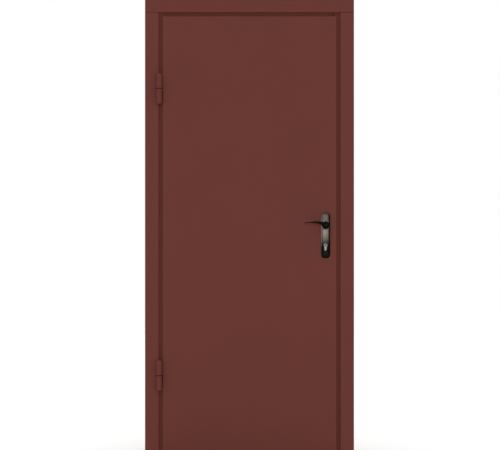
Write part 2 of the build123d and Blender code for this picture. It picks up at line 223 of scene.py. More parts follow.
def add_node(tree, kind, inputs=None, **settings):
    """Add a node to a tree, set its properties and fill its inputs."""
    made = tree.nodes.new(kind)
    for name, value in settings.items():
        setattr(made, name, value)
    fill_inputs(made, inputs or {})
    return made


def new_material(name):
    """An empty node material: its shader, its object coordinates, and add_node for its own tree."""
    material = bpy.data.materials.new(name)
    material.use_nodes = True
    add = partial(add_node, material.node_tree)
    place = add("ShaderNodeTexCoord").outputs["Object"]
    return material, material.node_tree.nodes["Principled BSDF"], place, add


def rgba(rgb, gain=1.0):
    """A colour with full alpha, lighter or darker by a gain."""
    return (*(min(1.0, c * gain) for c in rgb), 1.0)


def kept_material(maker, *settings):
    """The material that maker makes, made once and then used again."""
    key = maker.__name__ + "".join(s for s in settings if isinstance(s, str))
    if key not in KEPT:
        KEPT[key] = maker(*settings)
    return KEPT[key]


# Materials


def powder_coat(finish):
    """Powder-coated steel: fine orange peel breaks its sheen; painted shade on the frame's step, darker and
    redder.
    """
    material, shader, place, add = new_material("powder_coated_steel")
    blotch = add("ShaderNodeTexNoise", {"Vector": place, "Scale": 1 / finish.blotch, "Detail": 3.0})
    peel = add("ShaderNodeTexNoise", {"Vector": place, "Scale": 1 / finish.peel, "Detail": 1.0})
    tone = add(
        "ShaderNodeMix", {0: blotch, 6: rgba(finish.coat, 0.95), 7: rgba(finish.coat, 1.05)},
        data_type="RGBA",
    )
    depth = add("ShaderNodeSeparateXYZ", {"Vector": place}).outputs["Y"]
    step_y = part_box("hinge_jamb")[0].y
    step_shade = 0.0
    # The painted shade starts just in front of the step and fades out some way behind it
    for start, end, last in ((-4 * MM, -0.5 * MM, 1.0), (4 * MM, 24 * MM, 0.0)):
        step_shade = add(
            "ShaderNodeMapRange",
            {
                "Value": depth, "From Min": step_y + start, "From Max": step_y + end,
                "To Min": step_shade, "To Max": last,
            },
            interpolation_type="SMOOTHSTEP",
        )
    # Painted shade on the step, laid over the coat's own tone
    tone = add("ShaderNodeMix", {0: step_shade, 6: tone, 7: rgba(finish.step_shade_coat)}, data_type="RGBA")
    gloss = add("ShaderNodeMapRange", {"Value": peel, "To Min": 0.5, "To Max": 0.62})
    swell = add("ShaderNodeBump", {"Height": peel, "Strength": 0.1, "Distance": 0.2 * MM})
    fill_inputs(shader, {
        "Base Color": tone, "Roughness": gloss, "Normal": swell, "Specular IOR Level": 0.12,
    })
    return material


def seal_rubber(finish):
    """Extruded EPDM rubber: matt black, with a faint grey bloom and a fine grain."""
    material, shader, place, add = new_material("extruded_rubber")
    bloom = add("ShaderNodeTexNoise", {"Vector": place, "Scale": 1 / finish.bloom, "Detail": 4.0})
    fine = add("ShaderNodeTexNoise", {"Vector": place, "Scale": 1 / (0.8 * MM), "Detail": 2.0})
    tone = add(
        "ShaderNodeMix", {0: bloom, 6: rgba(finish.rubber, 0.8), 7: rgba(finish.rubber, 1.6)},
        data_type="RGBA",
    )
    grain = add("ShaderNodeBump", {"Height": fine, "Strength": 0.25, "Distance": 0.2 * MM})
    fill_inputs(shader, {
        "Base Color": tone, "Roughness": 0.72, "Normal": grain, "Specular IOR Level": 0.35,
    })
    return material


def dull_paste(name, rgb, lump, rough):
    """A soft paste that has skinned over, matt and a little lumpy."""
    material, shader, place, add = new_material(name)
    lumps = add("ShaderNodeTexNoise", {"Vector": place, "Scale": 1 / lump, "Detail": 3.0})
    tone = add("ShaderNodeMix", {0: lumps, 6: rgba(rgb, 0.8), 7: rgba(rgb, 1.3)}, data_type="RGBA")
    skin = add("ShaderNodeBump", {"Height": lumps, "Strength": 0.3, "Distance": 0.2 * MM})
    fill_inputs(shader, {
        "Base Color": tone, "Roughness": rough, "Normal": skin, "Specular IOR Level": 0.12,
    })
    return material


def joint_mastic(finish):
    """Dark brown, quite matt acrylic bead: painted shade that draws each casing joint as a thin dark line."""
    return dull_paste("painted_joint_shade", finish.shade_mastic, 3 * MM, 0.8)


def hinge_grease(finish):
    """Black-brown and dull, with the faintest wet sheen: a bead of painted shade between a hinge's barrels.
    """
    return dull_paste("hinge_grease", finish.grease, 4 * MM, 0.6)


def streaked_metal(name, rgb, streak, stretch, rough):
    """A worked metal whose streaks run along the axis that stretch draws out."""
    material, shader, place, add = new_material(name)
    drawn = add("ShaderNodeMapping", {"Vector": place, "Scale": stretch})
    streaks = add("ShaderNodeTexNoise", {"Vector": drawn, "Scale": 1 / streak, "Detail": 3.0})
    cloud = add("ShaderNodeTexNoise", {"Vector": place, "Scale": 1 / (25 * MM), "Detail": 4.0})
    tone = add("ShaderNodeMix", {0: cloud, 6: rgba(rgb, 0.85), 7: rgba(rgb, 1.12)}, data_type="RGBA")
    gloss = add("ShaderNodeMapRange", {"Value": streaks, "To Min": rough - 0.07, "To Max": rough + 0.1})
    groove = add("ShaderNodeBump", {"Height": streaks, "Strength": 0.12, "Distance": 0.1 * MM})
    fill_inputs(shader, {"Base Color": tone, "Roughness": gloss, "Normal": groove, "Metallic": 1.0})
    return material


def satin_nickel(finish):
    """Satin nickel plate on brass and steel: a soft grey, brushed upright."""
    return streaked_metal("satin_nickel", finish.nickel, finish.brushing, (1, 1, 0.06), 0.3)


def plated_zinc(finish):
    """Zinc-plated pressed steel: cool grey with a cloudy bloom, brushed along the plate."""
    return streaked_metal("zinc_plated_steel", finish.zinc, finish.brushing, (1, 1, 0.06), 0.4)


def worn_nickel(finish):
    """Nickel on a key plug, dulled and scratched by keys."""
    return streaked_metal("worn_nickel", finish.plug, finish.brushing, (1, 1, 0.3), 0.36)


def turned_steel(finish):
    """Turned steel made nearly black by old grease and painted shade, with lathe marks that run round the
    ring.
    """
    return streaked_metal("greased_turned_steel", finish.steel, finish.turning, (0.04, 0.04, 1), 0.3)


def black_nickel(finish):
    """Black nickel on cast zinc: deep brown-black and glossy, a little cloudy from handling."""
    material, shader, place, add = new_material("black_nickel_casting")
    cloud = add("ShaderNodeTexNoise", {"Vector": place, "Scale": 1 / (14 * MM), "Detail": 5.0})
    grain = add("ShaderNodeTexNoise", {"Vector": place, "Scale": 1 / (1.5 * MM), "Detail": 3.0})
    tone = add(
        "ShaderNodeMix",
        {0: cloud, 6: rgba(finish.black_plate, 0.6), 7: rgba(finish.black_plate, 1.7)}, data_type="RGBA",
    )
    gloss = add("ShaderNodeMapRange", {"Value": cloud, "To Min": 0.24, "To Max": 0.4})
    skin = add("ShaderNodeBump", {"Height": grain, "Strength": 0.06, "Distance": 0.2 * MM})
    fill_inputs(shader, {"Base Color": tone, "Roughness": gloss, "Normal": skin, "Metallic": 1.0})
    return material


def plate_painted_light(finish, plate):
    """Black nickel with a painted grey-beige highlight by the lever, and painted shade at foot and lock edge.
    """
    material, shader, place, add = new_material("painted_highlight_" + plate)
    low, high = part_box(plate)
    lever_z = middle("lever_spindle").z
    split = add("ShaderNodeSeparateXYZ", {"Vector": place})
    across = split.outputs["X"]
    cloud = add("ShaderNodeTexNoise", {"Vector": place, "Scale": 1 / (9 * MM), "Detail": 5.0})
    ragged = add("ShaderNodeMath", {0: cloud, 1: 18 * MM, 2: split.outputs["Z"]}, operation="MULTIPLY_ADD")
    rim_fades = []
    for start, end, most, ramp in (
        # How much further up and down the painted highlight reaches on the hinge-side rim than on the panel
        (4 * MM, 7 * MM, 24 * MM, "LINEAR"),
        # Painted highlight that the rim's outer edge has all the way down
        (2.5 * MM, 4.5 * MM, 0.24, "LINEAR"),
        # Where the painted highlight takes the rim's warmer colour
        (7 * MM, 9.5 * MM, 1.0, "SMOOTHSTEP"),
    ):
        rim_fades.append(add(
            "ShaderNodeMapRange",
            {
                "Value": across, "From Min": low.x + start, "From Max": low.x + end,
                "To Min": most, "To Max": 0.0,
            },
            interpolation_type=ramp,
        ))
    rim_highlight_reach, edge_highlight, on_rim = rim_fades
    footward = add("ShaderNodeMath", {0: ragged, 1: rim_highlight_reach}, operation="ADD")
    topward = add("ShaderNodeMath", {0: ragged, 1: rim_highlight_reach}, operation="SUBTRACT")
    # Mask of the painted highlight, which the painted shade below cuts back
    worn = 1.0
    for reading, start, end, first, last in (
        # Painted shade keeps the foot black, higher up on the panel than on the rim beside it
        (footward, low.z + 60 * MM, low.z + 138 * MM, 0.015, 1.0),
        # Above the lever, and at the top end, the painted highlight is dimmer, but it reaches further up on
        # the rim
        (topward, lever_z + 9 * MM, lever_z + 35 * MM, 1.0, 0.55),
        (topward, lever_z + 50 * MM, lever_z + 58 * MM, 1.0, 0.65),
        # Painted shade on the ledge and across the panel's lock side, and a darker painted shade on the
        # lock-side rim
        (across, low.x + 6.5 * MM, low.x + 9.5 * MM, 1.0, 0.66),
        (across, low.x + 14 * MM, low.x + 28 * MM, 1.0, 0.74),
        (across, high.x - 7 * MM, high.x - 4.6 * MM, 1.0, 0.06),
    ):
        fade = add(
            "ShaderNodeMapRange",
            {"Value": reading, "From Min": start, "From Max": end, "To Min": first, "To Max": last},
            interpolation_type="SMOOTHSTEP",
        )
        worn = add("ShaderNodeMath", {0: worn, 1: fade}, operation="MULTIPLY")
    worn = add("ShaderNodeMath", {0: worn, 1: edge_highlight}, operation="MAXIMUM")
    # Colour of the painted highlight, warmer on the hinge-side rim
    bare = add(
        "ShaderNodeMix", {0: on_rim, 6: rgba(finish.painted_highlight_plate), 7: rgba(finish.rim_highlight_metal)},
        data_type="RGBA",
    )
    # Painted highlight over black nickel, which stays black where the painted shade falls
    tone = add("ShaderNodeMix", {0: worn, 6: rgba(finish.black_plate), 7: bare}, data_type="RGBA")
    gloss = add("ShaderNodeMapRange", {"Value": cloud, "To Min": 0.3, "To Max": 0.46})
    skin = add("ShaderNodeBump", {"Height": cloud, "Strength": 0.06, "Distance": 0.3 * MM})
    fill_inputs(shader, {"Base Color": tone, "Roughness": gloss, "Normal": skin, "Metallic": 1.0})
    return material


def studio_floor(stage):
    """Matt white studio floor with a faint mottle."""
    material, shader, place, add = new_material("studio_floor")
    mottle = add("ShaderNodeTexNoise", {"Vector": place, "Scale": 1 / stage.floor_mottle, "Detail": 2.0})
    tone = add(
        "ShaderNodeMix", {0: mottle, 6: rgba(stage.floor, 0.98), 7: rgba(stage.floor)}, data_type="RGBA"
    )
    fill_inputs(shader, {"Base Color": tone, "Roughness": 0.9, "Specular IOR Level": 0.1})
    return material


# Mesh helpers


def placed(name, data):
    """A new object at the origin, linked into the scene."""
    made = bpy.data.objects.new(name, data)
    bpy.context.scene.collection.objects.link(made)
    return made


def plain_mesh(name, shape):
    """A mesh made from a bmesh, which is freed."""
    mesh = bpy.data.meshes.new(name)
    shape.to_mesh(mesh)
    shape.free()
    return mesh


def evaluated(carrier):
    """The plain mesh of an object with its modifiers run; the object is removed."""
    bpy.context.view_layer.update()
    result = bpy.data.meshes.new_from_object(carrier.evaluated_get(bpy.context.evaluated_depsgraph_get()))
    bpy.data.objects.remove(carrier)
    return result


def link_piece(name, mesh, material, body, nodes=()):
    """Put a finished mesh into the scene as a piece that rides on a body and stands for nodes."""
    mesh.materials.clear()
    mesh.materials.append(material)
    for polygon in mesh.polygons:
        polygon.material_index = 0
    piece = placed(name, mesh)
    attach(piece, body)
    if nodes:
        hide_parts(*nodes)


def dress(nodes, material):
    """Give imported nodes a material."""
    for node in nodes:
        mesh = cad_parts[node].data
        mesh.materials.clear()
        mesh.materials.append(material)


def merged_copy(node):
    """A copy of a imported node's mesh with its loose triangles joined."""
    shape = bmesh.new()
    shape.from_mesh(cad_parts[node].data)
    bmesh.ops.remove_doubles(shape, verts=shape.verts, dist=0.002 * MM)
    return plain_mesh(node + "_merged", shape)


def joined(*meshes):
    """One mesh that holds the shells of several."""
    shape = bmesh.new()
    for part in meshes:
        shape.from_mesh(part)
    return plain_mesh("joined", shape)


def finished(mesh, *modifiers):
    """Run modifiers, given as (type, settings), on a mesh and return the plain result."""
    carrier = placed("carrier", mesh)
    for kind, settings in modifiers:
        modifier = carrier.modifiers.new(kind.lower(), kind)
        for name, value in settings.items():
            setattr(modifier, name, value)
    return evaluated(carrier)


def smooth_by_angle(mesh, degrees):
    """Smooth shading with edges sharper than the angle kept crisp."""
    mesh.shade_smooth()
    mesh.set_sharp_from_angle(angle=math.radians(degrees))
    return mesh


def broken_edges(node, width):
    """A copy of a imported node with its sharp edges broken."""
    mesh = finished(
        merged_copy(node),
        ("BEVEL", {"width": width, "segments": 2, "limit_method": "ANGLE", "angle_limit": math.radians(40)}),
    )
    return smooth_by_angle(mesh, 35)


def arc(centre, radius, start, sweep, steps):
    """Points of an arc in the XZ plane, counter-clockwise from a start angle through a sweep."""
    turns = [start + sweep * step / steps for step in range(steps + 1)]
    return [centre + radius * Vector((math.cos(turn), 0, math.sin(turn))) for turn in turns]


def rounded_outline(width, height, radius, steps):
    """Points of an upright rounded rectangle about the origin, counter-clockwise, in the XZ plane."""
    points = []
    quarter = math.pi / 2
    for corner, (across, up) in enumerate(((1, 1), (-1, 1), (-1, -1), (1, -1))):
        centre = Vector((across * (width / 2 - radius), 0, up * (height / 2 - radius)))
        points += arc(centre, radius, corner * quarter, quarter, steps)
    return points


def keyhole_outline(radius, tail_radius, drop, steps):
    """Points of the lock cylinder's section about its key plug: a round body over a narrow tail."""
    neck = math.asin(tail_radius / radius)
    body = arc(ORIGIN, radius, neck - math.pi / 2, 2 * (math.pi - neck), steps)
    return body + arc(-drop * UP, tail_radius, math.pi, math.pi, steps)


def loft_rings(rings):
    """A closed mesh through rings of as many points each, capped at both ends."""
    shape = bmesh.new()
    loops = [[shape.verts.new(point) for point in ring] for ring in rings]
    count = len(loops[0])
    for lower, upper in zip(loops, loops[1:]):
        for i in range(count):
            shape.faces.new((lower[i], lower[(i + 1) % count], upper[(i + 1) % count], upper[i]))
    shape.faces.new(reversed(loops[0]))
    shape.faces.new(loops[-1])
    bmesh.ops.recalc_face_normals(shape, faces=shape.faces)
    return plain_mesh("lofted", shape)


def lathe(profile, steps, axis_point, axis):
    """A closed mesh turned from (radius, reach) points, set on an axis that starts at a point."""
    turn_to_axis = UP.rotation_difference(axis).to_matrix()
    rings = []
    for radius, reach in profile:
        ring = []
        for step in range(steps):
            turn = 2 * math.pi * step / steps
            spoke = Vector((radius * math.cos(turn), radius * math.sin(turn), reach))
            ring.append(axis_point + turn_to_axis @ spoke)
        rings.append(ring)
    return loft_rings(rings)


def carved(mesh, cutters, operation="DIFFERENCE"):
    """Cut meshes out of a mesh, or join them to it."""
    for cutter in cutters:
        tool = placed("tool", cutter)
        mesh = finished(mesh, ("BOOLEAN", {"operation": operation, "solver": "EXACT", "object": tool}))
        bpy.data.objects.remove(tool)
    return mesh


# Geometry Nodes trees


def node_modifier(carrier, tree, **values):
    """Put a tree on an object and set its named inputs by their sockets' identifiers."""
    modifier = carrier.modifiers.new(tree.name, "NODES")
    modifier.node_group = tree
    for item in tree.interface.items_tree:
        if item.in_out == "INPUT" and item.name in values:
            modifier[item.identifier] = values[item.name]


def grown_mesh(points, edges, tree, **values):
    """The plain mesh that a tree grows on points and edges."""
    seed_mesh = bpy.data.meshes.new("seed")
    seed_mesh.from_pydata(points, edges, [])
    carrier = placed("carrier", seed_mesh)
    node_modifier(carrier, tree, **values)
    return evaluated(carrier)


def seam_wires(seams):
    """Points and edges of seams that are given by their two ends."""
    points = [end for seam in seams for end in seam]
    return points, [(2 * i, 2 * i + 1) for i in range(len(seams))]


def new_tree(name, **inputs):
    """A Geometry Nodes tree with named inputs: add_node for it, its input node and its output node."""
    tree = bpy.data.node_groups.new(name, "GeometryNodeTree")
    tree.is_modifier = True
    tree.interface.new_socket("Geometry", in_out="INPUT", socket_type="NodeSocketGeometry")
    for label, kind in inputs.items():
        tree.interface.new_socket(label, in_out="INPUT", socket_type=kind)
    tree.interface.new_socket("Geometry", in_out="OUTPUT", socket_type="NodeSocketGeometry")
    add = partial(add_node, tree)
    return add, add("NodeGroupInput"), add("NodeGroupOutput")


def end_tree(add, given, result, geometry):
    """Realize instances, set the material and close the tree, which is returned."""
    realized = add("GeometryNodeRealizeInstances", {"Geometry": geometry})
    coated = add("GeometryNodeSetMaterial", {"Geometry": realized, "Material": given.outputs["Material"]})
    fill_inputs(result, {"Geometry": coated})
    return result.id_data


def bead_tree(name):
    """A swelling bead of weld metal, or of a dark paste that paints shade, along each run of edges."""
    add, given, result = new_tree(
        name, Radius="NodeSocketFloat", Pitch="NodeSocketFloat", Material="NodeSocketMaterial"
    )
    pitch = given.outputs["Pitch"]
    steps_a_ripple = 8.0
    fine_step = add("ShaderNodeMath", {0: pitch, 1: steps_a_ripple}, operation="DIVIDE")
    seam = add("GeometryNodeMeshToCurve", {"Mesh": given.outputs["Geometry"]})
    fine = add("GeometryNodeResampleCurve", {"Curve": seam, "Length": fine_step}, mode="LENGTH")
    swell = add("GeometryNodeSplineParameter").outputs["Length"]
    # Each ripple swells the bead from 0.78 to 1.08 of its radius
    for operation, numbers in (
        ("DIVIDE", {1: pitch}), ("MULTIPLY", {1: math.pi}), ("SINE", {}), ("ABSOLUTE", {}),
        ("MULTIPLY_ADD", {1: 0.3, 2: 0.78}),
    ):
        swell = add("ShaderNodeMath", {0: swell, **numbers}, operation=operation)
    section = add("GeometryNodeCurvePrimitiveCircle", {"Resolution": 14, "Radius": given.outputs["Radius"]})
    bead = add(
        "GeometryNodeCurveToMesh",
        {"Curve": fine, "Profile Curve": section, "Scale": swell, "Fill Caps": True},
    )
    return end_tree(add, given, result, bead)


def screw_tree():
    """A screw head at each point, faced by a turn and each with its own turn about its axis."""
    add, given, result = new_tree(
        "screw_heads", Head="NodeSocketObject", Facing="NodeSocketVector", Seed="NodeSocketInt",
        Material="NodeSocketMaterial",
    )
    head = add("GeometryNodeObjectInfo", {"Object": given.outputs["Head"]}).outputs["Geometry"]
    spin = add(
        "FunctionNodeRandomValue",
        {2: 0.0, 3: math.pi / 2, "Seed": given.outputs["Seed"]}, data_type="FLOAT",
    )
    own_turn = add("ShaderNodeCombineXYZ", {"Z": spin})
    faced = add("FunctionNodeEulerToRotation", {"Euler": given.outputs["Facing"]})
    turned = add(
        "FunctionNodeRotateRotation", {"Rotation": faced, "Rotate By": own_turn}, rotation_space="LOCAL"
    )
    heads = add(
        "GeometryNodeInstanceOnPoints",
        {"Points": given.outputs["Geometry"], "Instance": head, "Rotation": turned},
    )
    return end_tree(add, given, result, heads)


def screw_head(fittings):
    """A countersunk cross-recess screw head, facing +Z with its top at the origin."""
    radius = fittings.screw_head / 2
    recess = fittings.screw_recess / 2
    depth = 0.5 * radius
    profile = (
        (0.55 * radius, -depth), (0.97 * radius, -0.1 * radius), (radius, -0.04 * radius), (0.96 * radius, 0),
    )
    head = lathe(profile, 32, ORIGIN, UP)
    arm = 0.22 * recess
    cutters = []
    for turn in (0, math.pi / 2):
        shape = bmesh.new()
        bmesh.ops.create_cube(shape, size=2)
        for vertex in shape.verts:
            taper = 0.55 if vertex.co.z < 0 else 1.05
            vertex.co = Vector((vertex.co.x * recess * taper, vertex.co.y * arm, vertex.co.z * 0.7 * depth))
        bmesh.ops.rotate(shape, verts=shape.verts, cent=ORIGIN, matrix=Matrix.Rotation(turn, 3, "Z"))
        cutters.append(plain_mesh("recess", shape))
    return smooth_by_angle(carved(head, cutters), 30)


def countersinks(points, axis, fittings):
    """Cutters for the countersinks that screws with their heads at the points sit in."""
    radius = fittings.screw_head / 2
    profile = ((0.6 * radius, -0.6 * radius), (1.14 * radius, 0), (1.14 * radius, 0.4 * radius))
    return [lathe(profile, 40, point, axis) for point in points]


def backplate_screws(fittings):
    """Places of the inner backplate's screws, on its panel near both ends."""
    low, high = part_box("inner_backplate")
    panel_y = high.y - fittings.boss_rise
    heights = (low.z + fittings.screw_inset, high.z - fittings.screw_inset)
    return [Vector(((low.x + high.x) / 2, panel_y, z)) for z in heights]


def faceplate_screws(fittings):
    """Places of the faceplate's screws: near both ends, and beside the lock cylinder's tail."""
    low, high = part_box("lock_faceplate")
    fixing_z = middle("outer_key_plug").z - fittings.fixing_drop
    heights = (low.z + fittings.screw_inset, high.z - fittings.screw_inset, fixing_z)
    return [Vector((high.x, (low.y + high.y) / 2, z)) for z in heights]


def grub_head(fittings):
    """A grub screw with a hexagon socket, facing +Z with its top at the origin."""
    radius = fittings.grub_screw / 2
    profile = ((0.9 * radius, -1.2 * radius), (radius, -0.12 * radius), (0.88 * radius, 0))
    screw = lathe(profile, 32, ORIGIN, UP)
    socket = lathe(((0.5 * radius, -0.9 * radius), (0.5 * radius, radius)), 6, ORIGIN, UP)
    return smooth_by_angle(carved(screw, [socket]), 30)


# Operators


class DOOR_OT_coat(bpy.types.Operator):
    """Powder coat on frame, casing, leaf and hinge barrels, with weld beads at hinges and frame corners"""

    bl_idname = "door.coat"
    bl_label = "Coat and Weld"

    def execute(self, context):
        finish = context.scene.door_finish
        fittings = context.scene.door_fittings
        coat = kept_material(powder_coat, finish)
        dress(PAINTED_FRAME + PAINTED_LEAF, coat)
        tree = bead_tree("weld_bead")
        for name, body, seams in (
            ("frame_welds", "frame", frame_seams(fittings) + hinge_seams("frame", fittings)),
            ("leaf_welds", "leaf", hinge_seams("leaf", fittings)),
        ):
            mesh = grown_mesh(
                *seam_wires(seams), tree,
                Radius=fittings.weld_radius, Pitch=fittings.weld_pitch, Material=coat,
            )
            mesh.shade_smooth()
            link_piece(name, mesh, coat, body)
        return {"FINISHED"}


def hinge_seams(half, fittings):
    """Ends of the seams that weld each hinge's frame half or leaf half to its edge."""
    seams = []
    margin = fittings.weld_margin
    away = -1 if half == "frame" else 1
    proud = 0.3 * fittings.weld_radius
    seam_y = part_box("leaf_front_skin")[0].y - proud
    for place in ("upper", "lower"):
        low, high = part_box(f"{place}_hinge_{half}_barrel")
        seam_x = middle(f"{place}_hinge_pin").x + away * fittings.weld_offset
        seams.append(((seam_x, seam_y, low.z + margin), (seam_x, seam_y, high.z - margin)))
    return seams


def frame_seams(fittings):
    """Ends of the short seams that join head and threshold to the jambs, on the inner face."""
    seams = []
    margin = fittings.corner_margin
    for rail in ("head_jamb", "threshold"):
        low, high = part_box(rail)
        seam_y = high.y - fittings.corner_sink
        for x in (low.x, high.x):
            seams.append(((x, seam_y, low.z + margin), (x, seam_y, high.z - margin)))
    return seams


class DOOR_OT_seals(bpy.types.Operator):
    """Rubber seals, the hinges' pins and rings, and dark beads of painted shade in casing joints and hinge
    gaps
    """

    bl_idname = "door.seals"
    bl_label = "Seals and Pins"

    def execute(self, context):
        finish = context.scene.door_finish
        fittings = context.scene.door_fittings
        dress(SEALS, kept_material(seal_rubber, finish))
        # Pins and rings, nearly black partly as painted shade in the hinge gaps
        dress(HINGE_STEEL, kept_material(turned_steel, finish))
        tree = bead_tree("paste_bead")
        joints = seam_wires(casing_joints(fittings))
        rings = gap_shade_rings(fittings)
        # Dark beads of painted shade: one in each casing joint, and a ring between each hinge's barrels
        for name, wires, radius, pitch, maker in (
            ("joint_mastic", joints, fittings.shade_mastic_radius, fittings.shade_mastic_pitch, joint_mastic),
            ("hinge_grease", rings, fittings.grease_radius, fittings.grease_pitch, hinge_grease),
        ):
            paste = kept_material(maker, finish)
            mesh = grown_mesh(*wires, tree, Radius=radius, Pitch=pitch, Material=paste)
            mesh.shade_smooth()
            link_piece(name, mesh, paste, "frame")
        return {"FINISHED"}


def casing_joints(fittings):
    """Ends of the joints where the side casings butt under the head casing, at the foot of its bend."""
    seams = []
    margin = fittings.shade_mastic_margin
    # The dark bead paints the shadow in the joint, just under the head casing's bend
    sunk = 0.75 * fittings.shade_mastic_radius
    raised = 0.7 * fittings.shade_mastic_radius
    for casing in ("hinge_side_casing", "lock_side_casing"):
        low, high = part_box(casing)
        joint_y = low.y + sunk
        joint_z = high.z + raised
        seams.append(((low.x + margin, joint_y, joint_z), (high.x - margin, joint_y, joint_z)))
    return seams


def gap_shade_rings(fittings):
    """Points and edges of a closed ring of painted shade between each hinge's two barrels, just inside their
    rims.
    """
    points, edges = [], []
    steps = 64
    inside_rim = 1.2 * fittings.grease_radius
    for place in ("upper", "lower"):
        axis = middle(f"{place}_hinge_pin")
        frame_low, frame_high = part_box(f"{place}_hinge_frame_barrel")
        joint_z = (frame_high.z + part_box(f"{place}_hinge_leaf_barrel")[0].z) / 2
        radius = axis.y - frame_low.y - inside_rim
        first = len(points)
        for step in range(steps):
            turn = math.pi / 2 + 2 * math.pi * step / steps
            points.append((axis.x + radius * math.cos(turn), axis.y + radius * math.sin(turn), joint_z))
            edges.append((first + step, first + (step + 1) % steps))
    return points, edges


class DOOR_OT_backplates(bpy.types.Operator):
    """Backplates with a sloping rim, a ledge and a raised panel, cut for lock cylinder and screws"""

    bl_idname = "door.backplates"
    bl_label = "Backplates"

    def execute(self, context):
        finish = context.scene.door_finish
        fittings = context.scene.door_fittings
        for side, outward in SIDES:
            node = f"{side}_backplate"
            mesh = plate_mesh(node, f"{side}_key_plug", outward, fittings)
            if side == "inner":
                sinks = countersinks(backplate_screws(fittings), Vector((0, outward, 0)), fittings)
                mesh = smooth_by_angle(carved(mesh, sinks), 32)
            # Black nickel with a painted highlight and painted shade
            material = kept_material(plate_painted_light, finish, node)
            link_piece(f"{side}_plate", mesh, material, "leaf", [node])
        return {"FINISHED"}


def plate_mesh(node, plug, outward, fittings):
    """One backplate, lofted through rounded rectangles from its edge to its panel."""
    low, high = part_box(node)
    plug_middle = middle(plug)
    spindle = middle("lever_spindle")
    width, height = high.x - low.x, high.z - low.z
    base_y = high.y if outward < 0 else low.y
    thickness = high.y - low.y - fittings.boss_rise
    rim_top = thickness - fittings.panel_rise
    rim = fittings.plate_rim
    panel = rim + fittings.plate_step
    edge = fittings.plate_edge
    profile = (
        (0, 0), (0, edge - 0.7 * MM), (0.2 * MM, edge - 0.15 * MM), (0.7 * MM, edge + 0.3 * MM),
        (rim - 0.8 * MM, rim_top - 0.35 * MM), (rim - 0.1 * MM, rim_top - 0.05 * MM),
        (rim + 0.6 * MM, rim_top), (panel - 0.3 * MM, rim_top + 0.08 * MM), (panel, rim_top + 0.4 * MM),
        (panel + 0.15 * MM, thickness - 0.35 * MM), (panel + 0.5 * MM, thickness - 0.08 * MM),
        (panel + 1.1 * MM, thickness),
    )
    centre = Vector(((low.x + high.x) / 2, base_y, (low.z + high.z) / 2))
    rings = []
    for inset, lift in profile:
        corner = fittings.plate_corner - inset
        outline = rounded_outline(width - 2 * inset, height - 2 * inset, corner, 16)
        rings.append([centre + point + Vector((0, outward * lift, 0)) for point in outline])
    mesh = loft_rings(rings)
    spindle_foot = Vector((spindle.x, base_y, spindle.z))
    away = Vector((0, outward, 0))
    boss_radius = fittings.boss_radius
    boss_top = thickness + fittings.boss_rise
    boss_profile = (
        (boss_radius + 0.6 * MM, 1 * MM), (boss_radius + 0.6 * MM, thickness - 0.2 * MM),
        (boss_radius, thickness + 0.3 * MM), (boss_radius - 0.2 * MM, boss_top - 0.5 * MM),
        (boss_radius - 0.8 * MM, boss_top),
    )
    mesh = carved(mesh, [lathe(boss_profile, 72, spindle_foot, away)], "UNION")
    below, above = -1 * MM, boss_top + 1 * MM
    spigot = lathe(((fittings.spigot_hole, below), (fittings.spigot_hole, above)), 48, spindle_foot, away)
    key_foot = Vector((plug_middle.x, base_y, plug_middle.z))
    outline = cylinder_section(-fittings.slot_clearance, fittings, 24)
    slot = loft_rings([[key_foot + point + reach * away for point in outline] for reach in (below, above)])
    return smooth_by_angle(carved(mesh, [spigot, slot]), 32)


class DOOR_OT_levers(bpy.types.Operator):
    """Cast levers whose head and grip are blended into one form, with the spindle between them"""

    bl_idname = "door.levers"
    bl_label = "Levers"

    def execute(self, context):
        finish = context.scene.door_finish
        fittings = context.scene.door_fittings
        casting = kept_material(black_nickel, finish)
        for side, outward in SIDES:
            node = f"{side}_lever"
            mesh = finished(
                joined(merged_copy(node), head_mesh(node, outward, fittings)),
                ("REMESH", {"mode": "VOXEL", "voxel_size": fittings.lever_grain, "use_smooth_shade": True}),
                ("SMOOTH", {"factor": 0.5, "iterations": 6}),
            )
            draw_out_tip(mesh, fittings)
            mesh.shade_smooth()
            link_piece(f"{side}_handle", mesh, casting, "lever_set", [node])
        dress(["lever_spindle"], kept_material(plated_zinc, finish))
        return {"FINISHED"}


def head_mesh(node, outward, fittings):
    """The turned head that a lever's neck swells into, domed in front."""
    low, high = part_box(node)
    spindle = middle("lever_spindle")
    seat = Vector((spindle.x, high.y if outward < 0 else low.y, spindle.z))
    back = fittings.head_reach - fittings.neck_reach
    front = fittings.dome_reach - fittings.head_reach
    fullness = 2.6
    steps = 18
    profile = []
    for step in range(1, steps):
        along = -math.cos(math.pi * step / steps)
        radius = fittings.lever_head * (1 - abs(along) ** fullness) ** (1 / fullness)
        profile.append((radius, fittings.head_reach + along * (back if along < 0 else front)))
    return lathe(profile, 64, seat, Vector((0, outward, 0)))


def draw_out_tip(mesh, fittings):
    """Make a lever's grip thinner towards its tip, and bend the tip down a little."""
    tip = min((vertex.co for vertex in mesh.vertices), key=lambda point: point.x).copy()
    root_x = tip.x + fittings.tip_length
    root_heights = [vertex.co.z for vertex in mesh.vertices if abs(vertex.co.x - root_x) < MM]
    root_z = (min(root_heights) + max(root_heights)) / 2
    for vertex in mesh.vertices:
        along = (root_x - vertex.co.x) / fittings.tip_length
        if along > 0:
            line_z = root_z + along * (tip.z - root_z)
            thinner = 1 - fittings.tip_thinning * along * along * (3 - 2 * along)
            vertex.co.z = line_z + (vertex.co.z - line_z) * thinner - fittings.tip_droop * along * along
    mesh.update()


